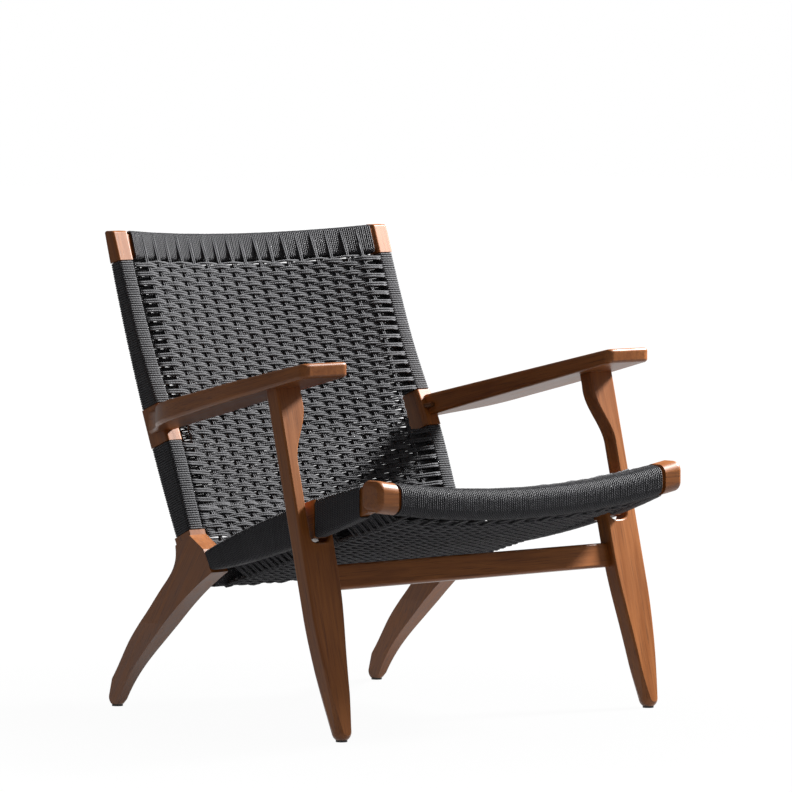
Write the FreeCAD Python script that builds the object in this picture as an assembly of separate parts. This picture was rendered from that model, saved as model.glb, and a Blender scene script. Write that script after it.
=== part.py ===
"""Low wooden armchair with a woven paper-cord seat and back.

Frame: millimetres, +Z up, the chair faces -Y and the sitter's left is +X.  The origin is the
bottom centre of the chair's box.  Every piece of the left side is drawn once and mirrored.
"""
import FreeCAD, Part
import math
import os

V = FreeCAD.Vector

# ---- driving dimensions ----
back_width = 535.0          # between the middle planes of the two back posts
side_flare = 34.5           # how much wider the seat is at the front legs, each side
back_rise = 470.0           # from the rear joint up to the top of the posts
rear_joint = (122.0, 257.0)     # rear corner where post and rear leg meet (y, z)
post_lean = 0.455           # run over rise of the post's rear edge at its foot
post_curve = 0.0926         # how far the post straightens towards its top, share of its rise
post_thickness = 30.0       # across the chair
post_depths = [(0.04, 40.0), (0.26, 48.0), (0.44, 43.0), (0.61, 33.5), (0.78, 28.0), (1.0, 21.5)]

rear_leg_thickness = 33.0
rear_foot = (280.0, 0.0)    # middle of the rear foot on the floor (y, z)
rear_foot_depth = 29.0
rear_foot_thickness = 25.0
rear_foot_lean = 31.7       # degrees
rear_foot_ball = 13.5       # radius of the rounded tip of the rear foot

leg_thickness = 25.0        # front leg, front to back
leg_lean = 13.81            # degrees
leg_front_foot = -301.2     # y of the front leg's face at the floor
leg_outer = 42.0            # front leg's outer edge outside the side rail's middle
leg_neck = 19.5             # width of the slim part above the seat
leg_head = 47.0             # width under the armrest
foot_width = 29.0
foot_ball = 14.5            # radius of the rounded tip of the front foot
notch_depth = 23.0          # open notch that takes the side rail
notch_sole = 286.0          # height of its bottom at the leg's face
notch_play = 0.4
notch_wall = 7.8            # wood left inside the notch, where the leg is widest

front_rail_place = (-340.0, 360.0)  # middle of the front rail's end (y, z)
front_rail_depth = 44.0
front_rail_height = 46.0
front_rail_round = 15.0
front_rail_sag = 26.0
front_rail_end_round = 8.0
front_rail_over = 8.0       # half the front rail's length past the side rails' widest middle
front_rail_bare = 37.0      # bare wood at each end of the front rail

side_rail_thickness = 26.0
side_rail_front_height = 45.0
side_rail_mid_height = 57.0
side_rail_crown = 7.0       # upward bow of its top edge

rear_rail_place = (89.0, 221.0)     # middle of the rear seat rail (y, z)
rear_rail_depth = 24.0
rear_rail_height = 44.0

stretcher_thickness = 14.0
stretcher_height = 37.0
stretcher_level = 232.0
stretcher_setback = 11.0    # behind the front legs' faces

top_rail_height = 38.0
top_rail_thickness = 16.0
top_rail_bow = 37.0
top_rail_drop = 5.0         # below the very top of the posts
bottom_rail_height = 38.0
bottom_rail_thickness = 18.0
bottom_rail_level = 40.0    # above the rear joint
bottom_rail_bow = 12.0

arm_front_level = 549.0     # top of the armrest at its front
arm_rear_level = 461.0      # top of the armrest at the post
arm_front_thickness = 22.0
arm_rear_thickness = 35.0
arm_front = -247.0          # y of the armrest's front edge
arm_inner = -3.5            # armrest's inner edge, from the post's middle plane outwards
arm_wide = 96.0             # greatest width of the armrest
arm_heel = 25.5             # its width past the post's middle where it meets the post

cord = 4.0                  # thickness of one layer of cord round a rail
weave = 8.0                 # thickness of a woven panel
gap = 0.4                   # between cord and its neighbours
panel_clear = 6.0           # from a back rail's cord to the woven panel's end
panel_bow_share = 0.92      # of the top rail's bow, where the panel ends below it
tenon_length = 20.0
tenon_fit = 0.1
tongue_thickness = 10.0
tongue_inset = 8.0          # top and bottom shoulder of a back rail's tenon
peg_radius = 4.0
rail_peg_half = 18.0
arm_peg_half = 15.0
leg_peg_radius = 3.0
leg_peg_half = 9.0
notch_bare = 10.0           # bare side rail in front of the front leg
seat_rear_sag = 10.0
nail_radius = 1.2
nail_length = 14.0
glide_radius = 8.5
glide_height = 3.0
sole_radius = 9.0           # flat left under each foot for its glide
edge_round = 4.0
leg_round = 3.0
arm_round = 5.0

# ---- places worked out from them ----
post_x = back_width / 2
seat_x = post_x + side_flare
hind_x = post_x + 1.5         # middle plane of the rear leg
hind_inner = hind_x - rear_leg_thickness / 2
joint_y, joint_z = rear_joint
lean = math.radians(leg_lean)
belly = seat_x - side_rail_thickness / 2 - notch_play - notch_wall  # front leg's inner edge


# ---- drawing helpers ----
def side(y, z):
    return V(0, y, z)


def front(x, z):
    return V(x, 0, z)


def plan(x, y):
    return V(x, y, 0)


def outline(pieces, place):
    """A closed wire: each piece is a run of points, a line for two and a smooth curve for more."""
    edges = []
    for run in pieces:
        points = [place(*p) for p in run]
        if len(points) == 2:
            edges.append(Part.makeLine(points[0], points[1]))
        else:
            curve = Part.BSplineCurve()
            curve.interpolate(points)
            edges.append(curve.toShape())
    return Part.Wire(Part.__sortEdges__(edges))


def polygon(points):
    """The straight runs of a closed outline through its corners."""
    return [list(run) for run in zip(points, points[1:] + points[:1])]


def slab(pieces, place, start, depth):
    """An outline thickened along the axis that its plane leaves out, from start."""
    axis = place(1, 1)
    normal = V(1 - abs(axis.x), 1 - abs(axis.y), 1 - abs(axis.z))
    face = Part.Face(outline(pieces, place))
    face.translate(normal * start)
    return face.extrude(normal * depth)


def block(low, high):
    return Part.makeBox(high[0] - low[0], high[1] - low[1], high[2] - low[2], V(*low))


def softened(shape, radius, wanted):
    edges = [e for e in shape.Edges if wanted(e)]
    return shape.makeFillet(radius, edges)


def rounded_bar(depth, height, radius):
    """Cross-section in the YZ plane, centred, with rounded corners."""
    y, z = depth / 2, height / 2
    wire = Part.makePolygon([V(0, -y, -z), V(0, y, -z), V(0, y, z), V(0, -y, z), V(0, -y, -z)])
    bar = Part.Face(wire).extrude(V(1, 0, 0))
    bar = softened(bar, radius, lambda e: abs(e.tangentAt(0).x) > 0.99)
    return min(bar.Faces, key=lambda f: f.CenterOfMass.x)


def peg(centre, direction, radius, half_length):
    way = V(*direction).normalize()
    return Part.makeCylinder(radius, 2 * half_length, V(*centre) - way * half_length, way)


def mirrored(shape):
    return shape.mirror(V(0, 0, 0), V(1, 0, 0))


def foot_form(ball, opening, reach):
    """A round tip that opens upwards as a cone for its reach, and everything above that."""
    turn = math.atan(opening)
    low = V(0, 0, -ball)
    touch = V(ball * math.cos(turn), 0, -ball * math.sin(turn))
    middle = V(ball * math.sin((math.pi / 2 - turn) / 2), 0, -ball * math.cos((math.pi / 2 - turn) / 2))
    flare = V(touch.x + opening * (reach - touch.z), 0, reach)
    corners = [touch, flare, V(400, 0, reach), V(400, 0, 900), V(0, 0, 900), low]
    edges = [Part.Arc(low, middle, touch).toShape()]
    edges += [Part.makeLine(a, b) for a, b in zip(corners, corners[1:])]
    return Part.Face(Part.Wire(edges)).revolve(V(0, 0, 0), V(0, 0, 1), 360)


def sole_rise(ball):
    """How far above the floor a round tip's centre is when its flat sole is wide enough."""
    return glide_height + math.sqrt(ball ** 2 - sole_radius ** 2)


# ---- back post ----
def post_rear(z):
    """y of the post's rear edge at a height."""
    rise = z - joint_z
    return joint_y + post_lean * rise - post_curve * rise * abs(rise) / back_rise


def post_depth(z):
    """Front-to-back width of the post at a height, measured level."""
    share = (z - joint_z) / back_rise
    for (low, a), (high, b) in zip(post_depths, post_depths[1:]):
        if share <= high:
            part = max(0.0, (share - low) / (high - low))
            smooth = part * part * (3 - 2 * part)
            return a + (b - a) * smooth
    return post_depths[-1][1]


def post_front(z):
    return post_rear(z) - post_depth(z)


def post_tilt(z):
    """Angle of the post from upright at a height, in radians."""
    return math.atan(post_lean - 2 * post_curve * (z - joint_z) / back_rise)


post_top = joint_z + back_rise
post_reach = 60.0            # the drawn post runs this far below its joint before it is cut
knee_front = (post_front(joint_z + 18) - 1.0, joint_z + 18)


def post_body(grow=0.0):
    """The left post down to below its joint, or the same form made thicker for the cord on it."""
    start = joint_z - post_reach
    levels = [start + (post_top - start) * i / 8 for i in range(9)]
    rear = [(post_rear(z) + grow, z) for z in levels]
    fore = [(post_front(z) - grow, z) for z in levels]
    return slab([rear, [rear[-1], fore[-1]], fore[::-1], [fore[0], rear[0]]], side,
                post_x - post_thickness / 2 - grow, post_thickness + 2 * grow)

# bare wood is left at the top of the post, round the armrest and just above the rear leg
top_level = post_top - top_rail_drop - top_rail_height / 2
bottom_level = joint_z + bottom_rail_level
inner_x = post_x - post_thickness / 2
upper_span = (arm_rear_level + 2, top_level - top_rail_height / 2 - cord)
lower_span = (joint_z + 18, arm_rear_level - arm_rear_thickness - 19)


def across_post(level):
    """Everything above a plane that crosses the post squarely at a level."""
    slope = math.tan(post_tilt(level))
    middle = (post_rear(level) + post_front(level)) / 2
    reach = 120.0
    a = (middle - reach, level + reach * slope)
    b = (middle + reach, level - reach * slope)
    return slab(polygon([a, b, (b[0] + 300, 900), (a[0], 900)]), side, 0, 600)


def post_ring(low, high, depth, proud):
    """The outer layer of the post between two levels."""
    sleeve = post_body(grow=proud).cut(post_body(grow=-depth))
    return sleeve.common(across_post(low)).cut(across_post(high))


def back_post():
    """The left post, cut back where cord is wound on it and rounded where it is bare."""
    fore_y, fore_z = knee_front
    low = joint_z - 2 * post_reach
    under = [(fore_y - post_reach, low), (fore_y - post_reach, fore_z + 30), knee_front, rear_joint,
             (joint_y + post_reach, low)]
    body = post_body().cut(slab(polygon(under), side, 0, 2 * post_x))
    for low, high in (upper_span, lower_span):
        body = body.cut(post_ring(low - gap, high + gap, cord + gap, 1))

    def bare_corner(edge):
        level = edge.CenterOfMass.z
        upright = abs(edge.tangentAt(edge.FirstParameter).z) > 0.7
        return upright and (level > upper_span[1] or lower_span[1] < level < upper_span[0])

    body = softened(body, edge_round, bare_corner)
    return softened(body, edge_round * 0.9, lambda e: e.CenterOfMass.z > post_top - 1)


# ---- middles of the feet ----
foot_x = seat_x + leg_outer - 14 - foot_width / 2
ball_rise = (sole_rise(foot_ball) + leg_thickness / 2 * math.sin(lean)) / math.cos(lean)
foot_y = leg_front_foot + leg_thickness / 2 * math.cos(lean) + ball_rise * math.sin(lean)
feet = {"front": (foot_x, foot_y), "rear": (hind_x, rear_foot[0] - 1)}


# ---- rear leg ----
rail_joint = [(57.0, 256.0), (38.0, 222.0)]     # front face of the rear leg's head


def rear_leg():
    foot_y, foot_z = rear_foot
    half = rear_foot_depth / 2
    back_edge = [rear_joint, (joint_y + 2, joint_z - 28), (joint_y + 31, joint_z - 65),
                 (joint_y + 67, joint_z - 105), (joint_y + 112, joint_z - 153),
                 (foot_y - 9, 54), (foot_y + half - 2, 14), (foot_y + half - 7, foot_z)]
    under_edge = [(foot_y - half + 5, foot_z), (foot_y - half, 10), (foot_y - 41, 50),
                  (joint_y + 57, 110), (joint_y - 10, 170), rail_joint[1]]
    body = slab([back_edge, [back_edge[-1], under_edge[0]], under_edge, rail_joint[::-1],
                 [rail_joint[0], knee_front], [knee_front, rear_joint]], side,
                hind_x - rear_leg_thickness / 2, rear_leg_thickness)
    thick = rear_leg_thickness / 2 + 1
    thin = rear_foot_thickness / 2
    taper_top = 150.0
    middle = hind_x
    sole = thin - 6
    taper = slab(polygon([(middle - sole, -5), (middle + sole, -5), (middle + thick, taper_top),
                          (middle + thick, joint_z + 60), (middle - thick, joint_z + 60),
                          (middle - thick, taper_top)]), front, -100, 600)
    body = body.common(taper)
    tip = foot_form(rear_foot_ball, 0.22, 60)
    tip.rotate(V(0, 0, 0), V(1, 0, 0), rear_foot_lean)
    tip.translate(V(*feet["rear"], sole_rise(rear_foot_ball)))
    body = body.common(tip)
    return body.cut(block((0, -100, -20), (2 * post_x, 600, glide_height)))


# ---- front leg ----
def leg_frame(shape):
    """Stand a leg drawn upright at y = 0 on its foot and lean it back."""
    shape.rotate(V(0, 0, 0), V(1, 0, 0), -leg_lean)
    shape.translate(V(0, leg_front_foot, 0))
    return shape


def leg_face(z):
    """y of the front leg's face at a height."""
    return leg_front_foot + z * math.tan(lean)


def front_leg():
    outer = seat_x + leg_outer
    neck = outer - leg_neck
    head = outer - leg_head
    notch_in = belly + notch_wall
    top = arm_under(leg_face(arm_front_level)) + 25
    stretch = 1 / math.cos(lean)
    half = foot_width / 2
    sole = notch_sole * stretch
    run_in = [(foot_x - half, 18), (belly + 17, 62), (belly + 9, 140), (belly + 1, 215), (belly, 270),
              (belly, sole + notch_depth)]
    flare = [(neck, sole + 118), (neck - 1.5, top - 105), (head + 4, top - 55), (head, top - 25)]
    outline_runs = [
        [(foot_x - half, 18), (foot_x - 9, 2), (foot_x, 0), (foot_x + 9, 2), (foot_x + half, 18)],
        [(foot_x + half, 18), (outer - 8, 80), (outer - 1.5, 150), (outer, 200)],
        [(outer, 200), (outer, top)],
        [(outer, top), (head, top)],
        [(head, top), (head, top - 25)],
        flare[::-1],
        [(neck, sole + 118), (neck, sole + 12)],
        [(neck, sole + 12), (neck - 4, sole + 3), ((neck + notch_in) / 2, sole),
         (notch_in + 4, sole + 3), (notch_in, sole + 12)],
        [(notch_in, sole + 12), (notch_in, sole + notch_depth)],
        [(notch_in, sole + notch_depth), (belly, sole + notch_depth)],
        run_in[::-1],
    ]
    body = slab(outline_runs, front, 0, leg_thickness)
    body = softened(body, leg_round, lambda e: (abs(e.tangentAt(e.FirstParameter).y) < 0.5
                                                and e.CenterOfMass.z < top - 1))
    tip = foot_form(foot_ball, 0.12, 172)
    tip.translate(V(foot_x, leg_thickness / 2, ball_rise))
    body = leg_frame(body.common(tip))
    body = body.cut(arm_above())
    return body.cut(block((0, -500, -40), (600, 0, glide_height)))


# ---- armrest ----
def arm_line(y, front_level, rear_level):
    """Height on a straight line between the armrest's front edge and the post's face."""
    rear_y = post_front(arm_rear_level)
    return front_level + (y - arm_front) * (rear_level - front_level) / (rear_y - arm_front)


def arm_top(y):
    return arm_line(y, arm_front_level, arm_rear_level)


def arm_under(y):
    return arm_line(y, arm_front_level - arm_front_thickness, arm_rear_level - arm_rear_thickness)


def arm_above():
    """Everything over the armrest's underside."""
    far, near = 300.0, -500.0
    return slab(polygon([(near, arm_under(near)), (far, arm_under(far)), (far, 900), (near, 900)]),
                side, 0, 600)


def armrest(post):
    inner = post_x + arm_inner
    outer = inner + arm_wide
    heel = post_x + arm_heel
    rear = post_front(arm_rear_level)
    end = rear + 18
    runs = [
        [(inner, end), (inner + 2, arm_front + 12)],
        [(inner + 2, arm_front + 12), (inner + 5, arm_front + 3), (inner + 14, arm_front)],
        [(inner + 14, arm_front), (outer - 18, arm_front)],
        [(outer - 18, arm_front), (outer - 7, arm_front + 4), (outer - 4, arm_front + 14)],
        [(outer - 4, arm_front + 14), (outer, -70), (outer - 6, 20), (outer - 15, 85),
         (heel + 31, rear - 42), (heel + 4, rear - 9), (heel - 6, end)],
        [(heel - 6, end), (inner, end)],
    ]
    body = slab(runs, plan, 300, 400)
    far, near = end + 30, arm_front - 30
    level = slab(polygon([(near, arm_under(near)), (far, arm_under(far)), (far, arm_top(far)),
                          (near, arm_top(near))]), side, 0, 600)
    body = body.common(level)
    body = softened(body, arm_round, lambda e: abs(e.tangentAt(e.FirstParameter).z) < 0.6)
    return body.cut(post)


# ---- seat frame ----
front_y, front_z = front_rail_place
rail_end_x = seat_x + front_rail_over


def front_rail(grow=0.0, half=None):
    """Sagging front rail, or the same form made thicker for the cord on it."""
    reach = rail_end_x if half is None else half
    sagitta = front_rail_sag
    radius = (rail_end_x ** 2 + sagitta ** 2) / (2 * sagitta)
    low = front_z - sagitta
    section = rounded_bar(front_rail_depth + 2 * grow, front_rail_height + 2 * grow,
                          front_rail_round + grow)
    section.translate(V(0, front_y, low))
    turn = math.degrees(math.asin(rail_end_x / radius)) + 2
    section.rotate(V(0, front_y, low + radius), V(0, 1, 0), turn)
    bar = section.revolve(V(0, front_y, low + radius), V(0, 1, 0), -2 * turn)
    bar = bar.common(block((-reach, front_y - 100, 0), (reach, front_y + 100, 600)))
    return bar


def along_rail(y):
    return (y - front_y) / (rail_joint[0][0] - front_y)


def rail_middle(y):
    """x of the side rail's middle: it bows outwards to pass the front leg's notch."""
    x_front = rail_end_x - side_rail_thickness / 2
    x_rear = hind_x + 1
    at_leg = along_rail(leg_face(notch_sole) + leg_thickness / 2)
    bow = (seat_x - x_front - (x_rear - x_front) * at_leg) / (at_leg * (1 - at_leg))
    share = along_rail(y)
    return x_front + (x_rear - x_front) * share + bow * share * (1 - share)


def rail_top(y):
    high = front_z + side_rail_front_height / 2 - 3
    low = rail_joint[0][1] - 3
    share = along_rail(y)
    return high + (low - high) * share + 4 * side_rail_crown * share * (1 - share)


def rail_under(y):
    high = front_z - side_rail_front_height / 2 - 3
    low = rail_joint[1][1] + 1
    rear_height = rail_joint[0][1] - 3 - low
    bulge = side_rail_mid_height - (side_rail_front_height + rear_height) / 2 - side_rail_crown
    share = along_rail(y)
    return high + (low - high) * share - 4 * bulge * share * (1 - share)


def side_rail(grow=0.0):
    """Left side rail: a bowed band in plan, cut to its profile seen from the side."""
    near = front_y
    far = rail_joint[0][0] + 10
    half = side_rail_thickness / 2 + grow
    levels = [near + (far - near) * i / 6 for i in range(7)]
    outer = [(rail_middle(y) + half, y) for y in levels]
    inner = [(rail_middle(y) - half, y) for y in levels]
    band = slab([outer, [outer[-1], inner[-1]], inner[::-1], [inner[0], outer[0]]], plan, 100, 400)
    top = [(y, rail_top(y) + grow) for y in levels]
    low = [(y, rail_under(y) - grow) for y in levels]
    profile = slab([top, [top[-1], low[-1]], low[::-1], [low[0], top[0]]], side, 0, 600)
    return band.common(profile)


def behind_joint(offset=0.0):
    """Everything behind the face where the side rail meets the rear leg."""
    (top_y, top_z), (low_y, low_z) = rail_joint
    slope = (top_y - low_y) / (top_z - low_z)
    a = (low_y - slope * 200 - offset, low_z - 200)
    b = (top_y + slope * 200 - offset, top_z + 200)
    return slab(polygon([a, b, (b[0] + 400, b[1]), (b[0] + 400, a[1])]), side, 0, 600)


def straight_rail(place, depth, height, half, tilt, tenon_depth, tenon_height):
    """A straight rail across the chair with a tenon at each end."""
    y, z = place
    bar = block((-half, y - depth / 2, z - height / 2), (half, y + depth / 2, z + height / 2))
    bar = softened(bar, edge_round, lambda e: abs(e.tangentAt(0).x) > 0.99)
    length = half + tenon_length
    tenon = block((-length, y - tenon_depth / 2, z - tenon_height / 2),
                  (length, y + tenon_depth / 2, z + tenon_height / 2))
    bar = bar.fuse(tenon).removeSplitter()
    bar.rotate(V(0, y, z), V(1, 0, 0), tilt)
    return bar


def mortise(place, depth, height, half, tilt):
    """The pocket in the left post or leg that takes a rail's tenon."""
    y, z = place
    play = tenon_fit
    length = tenon_length + 1
    pocket = block((half - 5, y - depth / 2 - play, z - height / 2 - play),
                   (half + length, y + depth / 2 + play, z + height / 2 + play))
    pocket.rotate(V(0, y, z), V(1, 0, 0), tilt)
    return pocket


# ---- bowed rails of the back ----
def leaned(shape, level):
    """Turn a shape drawn upright at the origin to the post's tilt and put it at a level."""
    middle = (post_rear(level) + post_front(level)) / 2
    shape.rotate(V(0, 0, 0), V(1, 0, 0), -math.degrees(post_tilt(level)))
    shape.translate(V(0, middle, level))
    return shape


def bowed_band(thickness, height, bow, half, radius=0.0):
    """An upright band that bows to the rear between x = -half and half."""
    sweep = (inner_x ** 2 + bow ** 2) / (2 * bow)
    ring = Part.makeCylinder(sweep + thickness / 2, height)
    ring = ring.cut(Part.makeCylinder(sweep - thickness / 2, height))
    if radius:
        ring = softened(ring, radius, lambda e: e.Length > 4 * sweep)
    ring.translate(V(0, bow - sweep, -height / 2))
    return ring.common(block((-half, -300, -height), (half, 300, height)))


def back_rail(level, height, thickness, bow):
    body = bowed_band(thickness, height, bow, inner_x, edge_round)
    length = inner_x + tenon_length
    tongue = block((-length, -tongue_thickness / 2, tongue_inset - height / 2),
                   (length, tongue_thickness / 2, height / 2 - tongue_inset))
    tongue = tongue.cut(block((12 - inner_x, -50, -100), (inner_x - 12, 50, 100)))
    return leaned(body.fuse(tongue).removeSplitter(), level)


def back_rail_wrap(level, height, thickness, bow):
    half = inner_x - gap
    layer = bowed_band(thickness + 2 * cord, height + 2 * cord, bow, half, edge_round + cord)
    return leaned(layer.cut(bowed_band(thickness + gap, height + gap, bow, half)), level)


def back_mortise(level, height):
    play = tenon_fit
    pocket = block((inner_x - 5, -tongue_thickness / 2 - play, tongue_inset - height / 2 - play),
                   (inner_x + tenon_length + 1, tongue_thickness / 2 + play,
                    height / 2 - tongue_inset + play))
    return leaned(pocket, level)


# ---- cord: wraps and woven panels ----
def side_rail_ring(depth, proud, low, high):
    """The outer layer of the side rail between two places along it."""
    sleeve = side_rail(grow=proud).cut(side_rail(grow=-depth))
    return sleeve.common(block((0, low, 0), (600, high, 600))).cut(behind_joint(gap))


def arc_section(half, sag, thickness, place_at):
    """A closed band in a plane, sagging in the middle."""
    def run(shift, order):
        return [place_at(order * half, shift), place_at(0, shift - sag), place_at(-order * half, shift)]
    upper = Part.Arc(*run(thickness / 2, 1)).toShape()
    lower = Part.Arc(*run(-thickness / 2, 1)).toShape()
    right = Part.makeLine(upper.Vertexes[0].Point, lower.Vertexes[0].Point)
    left = Part.makeLine(upper.Vertexes[-1].Point, lower.Vertexes[-1].Point)
    return Part.Wire([upper, left, lower.reversed(), right])


def back_panel(side_sign):
    """Woven panel of the back: side_sign -1 is the front layer, 1 the rear one."""
    wires = []
    upper = top_level - top_rail_height / 2 - cord - panel_clear
    lower = bottom_level + bottom_rail_height / 2 + cord + panel_clear
    ends = ((upper, top_rail_bow * panel_bow_share, top_rail_thickness),
            (lower, bottom_rail_bow, bottom_rail_thickness))
    for level, bow, thickness in ends:
        tilt = post_tilt(level)
        middle = (post_rear(level) + post_front(level)) / 2
        offset = side_sign * (thickness / 2 + weave / 2)
        half = inner_x - gap

        def place_at(x, depth):
            run = offset - depth
            return V(x, middle + run * math.cos(tilt), level - run * math.sin(tilt))
        wires.append(arc_section(half, bow, weave, place_at))
    return Part.makeLoft(wires, True, True)


def seat_panel(side_sign):
    """Woven panel of the seat: side_sign 1 is the top layer, -1 the underside."""
    wires = []
    rear_y, rear_z = rear_rail_place
    front_edge = front_y + front_rail_depth / 2 + gap
    rear_edge = rear_y - rear_rail_depth / 2 - cord - gap
    front_half = rail_middle(front_edge) - side_rail_thickness / 2 - gap
    joint_half = hind_inner - gap
    taper = (front_half - joint_half) / (rail_joint[0][0] - front_edge)
    rear_half = joint_half - taper * (rear_edge - rail_joint[0][0])
    front_sag = front_rail_sag * (front_half / rail_end_x) ** 2
    front_ends = front_z - front_rail_sag + front_sag
    ends = ((front_edge, front_half, front_ends, front_rail_height, front_sag),
            (rear_edge, rear_half, rear_z, rear_rail_height + 2 * cord, seat_rear_sag))
    for y, half, z, height, sag in ends:
        level = z + side_sign * (height - weave) / 2
        wires.append(arc_section(half, sag, weave, lambda x, depth: V(x, y, level + depth)))
    return Part.makeLoft(wires, True, True)


# ---- pegs, glides and their nails ----
def arm_leg_pegs():
    way = (0, math.sin(lean), math.cos(lean))
    y = leg_face(arm_front_level) + leg_thickness / 2
    outer = seat_x + leg_outer
    return [peg((x, y, arm_under(y)), way, peg_radius, arm_peg_half)
            for x in (outer - leg_head + 13, outer - 13)]


def arm_post_pegs():
    z = arm_rear_level - arm_rear_thickness / 2
    slope = (arm_top(0) - arm_top(100)) / 100
    return [peg((post_x + dx, post_front(z), z), (0, 1, -slope), peg_radius, rail_peg_half)
            for dx in (-8, 8)]


def rail_rear_pegs():
    (top_y, top_z), (low_y, low_z) = rail_joint
    way = (0, top_z - low_z, low_y - top_y)
    pegs = []
    for share in (0.36, 0.64):
        y = top_y + (low_y - top_y) * share
        z = top_z + (low_z - top_z) * share
        pegs.append(peg((rail_middle(y), y, z), way, peg_radius, rail_peg_half))
    return pegs


def rail_front_pegs():
    y = front_y + front_rail_depth / 2
    middle = (rail_top(y) + rail_under(y)) / 2
    way = (rail_middle(y + 10) - rail_middle(y), 10, rail_top(y + 10) - rail_top(y))
    return [peg((rail_middle(y), y, middle + dz), way, peg_radius, rail_peg_half) for dz in (-7, 7)]


def post_leg_pegs():
    tilt = post_tilt(joint_z)
    way = (0, math.sin(tilt), math.cos(tilt))
    pegs = []
    for share in (0.28, 0.72):
        y = knee_front[0] + (rear_joint[0] - knee_front[0]) * share
        z = knee_front[1] + (rear_joint[1] - knee_front[1]) * share
        pegs.append(peg((post_x, y, z), way, peg_radius, rail_peg_half))
    return pegs


def leg_rail_pegs():
    y = leg_face(notch_sole + 12) + leg_thickness / 2
    return [peg((belly + leg_peg_half, y, notch_sole + 12), (1, 0, 0), leg_peg_radius, leg_peg_half)]


def glide(x, y):
    return Part.makeCylinder(glide_radius, glide_height, V(x, y, 0))


def nail(x, y):
    return Part.makeCylinder(nail_radius, nail_length, V(x, y, glide_height))



# ---- the pieces ----
bar = softened(front_rail(), front_rail_end_round, lambda e: abs(e.CenterOfMass.x) > rail_end_x - 1)
rail = side_rail().cut(behind_joint()).cut(bar)
leg = front_leg()
post = back_post()
arm = armrest(post)
hind_leg = rear_leg()

stretcher_place = (leg_face(stretcher_level) + stretcher_setback + stretcher_thickness / 2, stretcher_level)
stretcher_half = belly + 2
stretcher = straight_rail(stretcher_place, stretcher_thickness, stretcher_height, stretcher_half, -leg_lean,
                          10, 25)
rear_bar = straight_rail(rear_rail_place, rear_rail_depth, rear_rail_height, hind_inner, 0, 12, 30)
leg = leg.cut(mortise(stretcher_place, 10, 25, stretcher_half, -leg_lean))
hind_leg = hind_leg.cut(mortise(rear_rail_place, 12, 30, hind_inner, 0))
post = post.cut(back_mortise(top_level, top_rail_height))
post = post.cut(back_mortise(bottom_level, bottom_rail_height))
stretcher = stretcher.cut(leg).cut(mirrored(leg))

peg_groups = {
    "arm_to_leg_pegs": arm_leg_pegs(),
    "arm_to_post_pegs": arm_post_pegs(),
    "side_rail_rear_pegs": rail_rear_pegs(),
    "side_rail_front_pegs": rail_front_pegs(),
    "post_to_leg_pegs": post_leg_pegs(),
    "leg_notch_pegs": leg_rail_pegs(),
}
for pegs in peg_groups.values():
    for pin in pegs:
        arm = arm.cut(pin)
        leg = leg.cut(pin)
        post = post.cut(pin)
        hind_leg = hind_leg.cut(pin)
        rail = rail.cut(pin)
        bar = bar.cut(pin).cut(mirrored(pin))

nails = [nail(*place) for place in feet.values()]
for pin in nails:
    leg = leg.cut(pin)
    hind_leg = hind_leg.cut(pin)

# ---- seats for the cord, and the cord wound on the frame ----
rail_back = front_y + front_rail_depth / 2 + gap
front_wrap_end = leg_face(rail_top(leg_face(notch_sole))) - notch_bare
rear_wrap_start = leg_face(rail_under(leg_face(notch_sole))) + leg_thickness / math.cos(lean) + 10
front_wrap = side_rail_ring(cord, 0, rail_back, front_wrap_end)
rear_wrap = side_rail_ring(cord, 0, rear_wrap_start, 300)
rail = rail.cut(side_rail_ring(cord + gap, 1, front_y - front_rail_depth, front_wrap_end + gap))
rail = rail.cut(side_rail_ring(cord + gap, 1, rear_wrap_start - gap, 300))
rail = rail.cut(leg)
wrapped = rail_end_x - front_rail_bare
bar_sleeve = front_rail(0, wrapped).cut(front_rail(-cord, wrapped + 5))
bar = bar.cut(front_rail(1, wrapped + gap).cut(front_rail(-cord - gap, wrapped + 5)))
upper_wrap = post_ring(*upper_span, cord, 0)
lower_wrap = post_ring(*lower_span, cord, 0)
rear_y, rear_z = rear_rail_place
rear_half = hind_inner - gap
rear_sleeve = block((-rear_half, rear_y - rear_rail_depth / 2 - cord, rear_z - rear_rail_height / 2 - cord),
                    (rear_half, rear_y + rear_rail_depth / 2 + cord, rear_z + rear_rail_height / 2 + cord))
rear_core = block((-rear_half, rear_y - rear_rail_depth / 2, rear_z - rear_rail_height / 2),
                  (rear_half, rear_y + rear_rail_depth / 2, rear_z + rear_rail_height / 2))
rear_sleeve = softened(rear_sleeve, edge_round + cord, lambda e: abs(e.tangentAt(0).x) > 0.99)
rear_sleeve = rear_sleeve.cut(rear_core)

top_bar = back_rail(top_level, top_rail_height, top_rail_thickness, top_rail_bow)
bottom_bar = back_rail(bottom_level, bottom_rail_height, bottom_rail_thickness, bottom_rail_bow)
lower_wrap = lower_wrap.cut(bottom_bar)

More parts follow.
